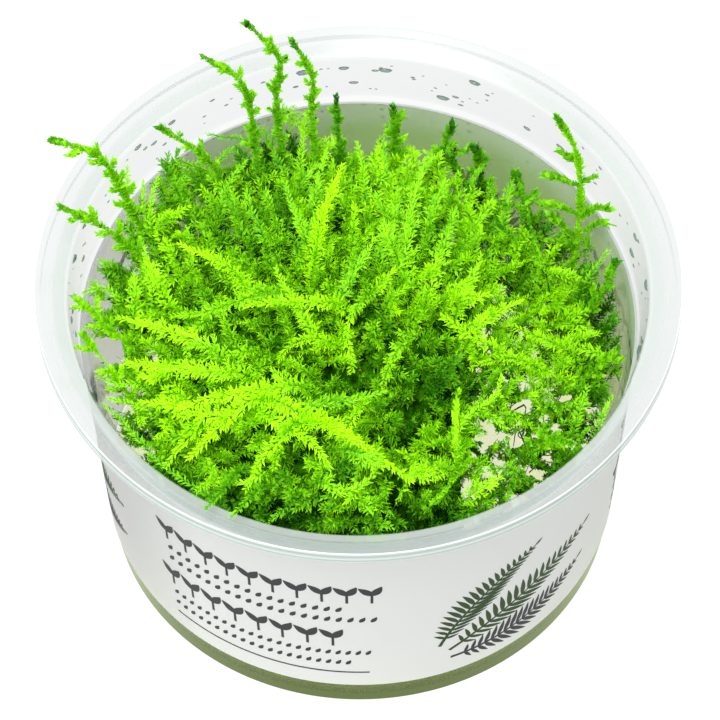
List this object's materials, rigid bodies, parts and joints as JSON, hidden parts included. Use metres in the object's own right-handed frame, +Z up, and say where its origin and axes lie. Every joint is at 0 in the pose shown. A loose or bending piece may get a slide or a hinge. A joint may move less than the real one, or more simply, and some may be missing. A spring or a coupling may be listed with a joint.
{
  "type": "moss clump in a clear tub",
  "caption": "Dense clump of feathery green moss in a shallow round clear plastic tub with a wide flanged rim, a gel layer under it and a plain wrap label; loose shoots stand above the rim",
  "frame": {"origin": "middle of the tub's flat underside, below the middle of the whole", "axes": "+Z up out of the tub's mouth, -Y the front as pictured, +X to the picture's right"},
  "size_m": [0.095, 0.095, 0.0756],
  "materials": {
    "clear_polypropylene": "gloss",
    "white_label_film": "satin",
    "nutrient_gel": "gloss",
    "moss_green": "matte",
    "fresh_moss_green": "satin"
  },
  "bodies": {
    "root": {"label": "white_label_film", "moss_clump": "moss_green", "nutrient_gel": "nutrient_gel", "shoot_back_arching": "fresh_moss_green", "shoot_back_dark": "fresh_moss_green", "shoot_back_forked": "fresh_moss_green", "shoot_back_leaning": "fresh_moss_green", "shoot_back_middle": "fresh_moss_green", "shoot_back_right": "fresh_moss_green", "shoot_back_short": "fresh_moss_green", "shoot_back_tall": "fresh_moss_green", "shoot_back_tallest": "fresh_moss_green", "shoot_front_lip": "fresh_moss_green", "shoot_front_lying": "fresh_moss_green", "shoot_left_front": "fresh_moss_green", "shoot_left_high": "fresh_moss_green", "shoot_left_low": "fresh_moss_green", "shoot_left_side": "fresh_moss_green", "shoot_middle_bright": "fresh_moss_green", "shoot_middle_left": "fresh_moss_green", "shoot_middle_right": "fresh_moss_green", "shoot_right_front": "fresh_moss_green", "shoot_right_high": "fresh_moss_green", "shoot_right_leaning": "fresh_moss_green", "shoot_right_low": "fresh_moss_green", "shoot_right_side": "fresh_moss_green", "tub": "clear_polypropylene"}
  },
  "joints": []
}
